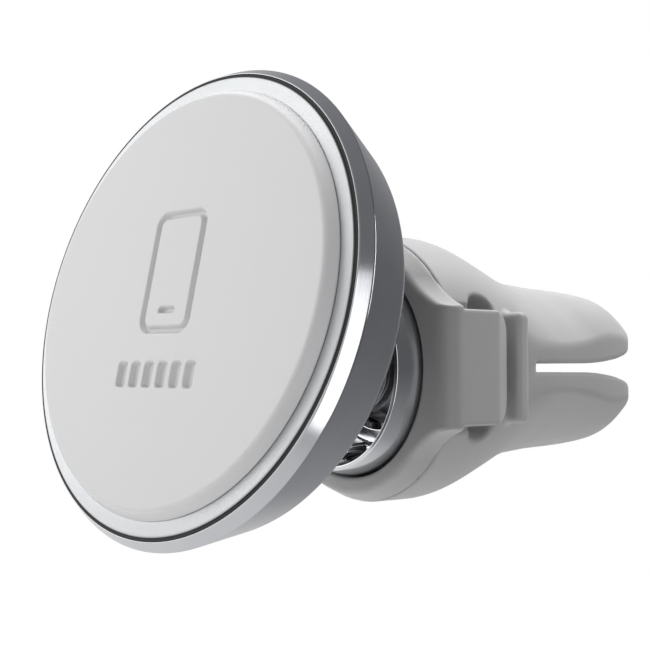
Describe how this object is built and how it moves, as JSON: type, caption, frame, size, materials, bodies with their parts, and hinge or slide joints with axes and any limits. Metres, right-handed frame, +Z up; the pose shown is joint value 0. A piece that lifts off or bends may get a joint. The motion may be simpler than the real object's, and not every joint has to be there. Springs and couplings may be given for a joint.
{
  "type": "car vent phone mount",
  "caption": "Magnetic car phone mount: a round padded head on a ball joint, set in a polished dish on a soft clip that grips an air vent blade, with cable guides at the sides.",
  "frame": {"origin": "root of the slot between the prongs, on the mount's centre line, where the vent blade's front edge comes to rest", "axes": "+Y points out of the slot, from the head to the prongs' tips and into the vent; +Z is up, across the blade; +X runs along the blade, to the right as seen from the driver's side facing the phone pad"},
  "size_m": [0.0414, 0.062, 0.0406],
  "materials": {
    "pad_silicone": "satin, fine moulded texture",
    "adhesive_tape": "dull double-sided tape",
    "satin_aluminium": "fine satin, anodised grey",
    "gasket_rubber": "matt black",
    "carrier_plastic": "moulded, matt",
    "nickel_plate": "bright nickel plating",
    "zinc_steel": "zinc plated sheet steel",
    "polished_metal": "mirror polished, dark chrome",
    "cover_plastic": "smooth black, half gloss",
    "screw_steel": "blackened steel",
    "ball_steel": "polished, black nickel",
    "cup_nylon": "natural nylon",
    "spring_steel": "hardened spring steel",
    "dark_chrome": "dark polished plating",
    "dish_chrome": "mirror polished chrome",
    "grey_silicone": "soft satin silicone",
    "core_nylon": "moulded glass-filled nylon"
  },
  "bodies": {
    "clip": {"socket_dish": "dish_chrome", "socket_collar": "dark_chrome", "pressure_plate": "zinc_steel", "disc_springs": "spring_steel", "cable_strap": "grey_silicone", "vent_clip": "grey_silicone", "clip_core": "core_nylon"},
    "cup": {"friction_cup": "cup_nylon"},
    "ball": {"ball_stud": "ball_steel", "stud_washer": "screw_steel", "stud_nut": "screw_steel"},
    "head": {"back_cover": "cover_plastic", "head_shell": "polished_metal", "cover_screws": "screw_steel", "yoke_plate": "zinc_steel", "magnets": "nickel_plate", "magnet_carrier": "carrier_plastic", "seam_gasket": "gasket_rubber", "trim_ring": "satin_aluminium", "pad_tape": "adhesive_tape", "face_pad": "pad_silicone"}
  },
  "joints": [
    {"name": "head_pan", "type": "hinge", "parent": "clip", "child": "cup", "pos_m": [0, -0.0102, 0], "axis": [0, 0, 1], "range_deg": [-26, 14]},
    {"name": "head_tilt", "type": "hinge", "parent": "cup", "child": "ball", "pos_m": [0, -0.0102, 0], "axis": [-0.9945, -0.1045, 0], "range_deg": [-32.5, 7.5]},
    {"name": "head_spin", "type": "hinge", "parent": "ball", "child": "head", "pos_m": [0, -0.0102, 0], "axis": [0.1021, -0.9709, 0.2164], "continuous": true}
  ]
}
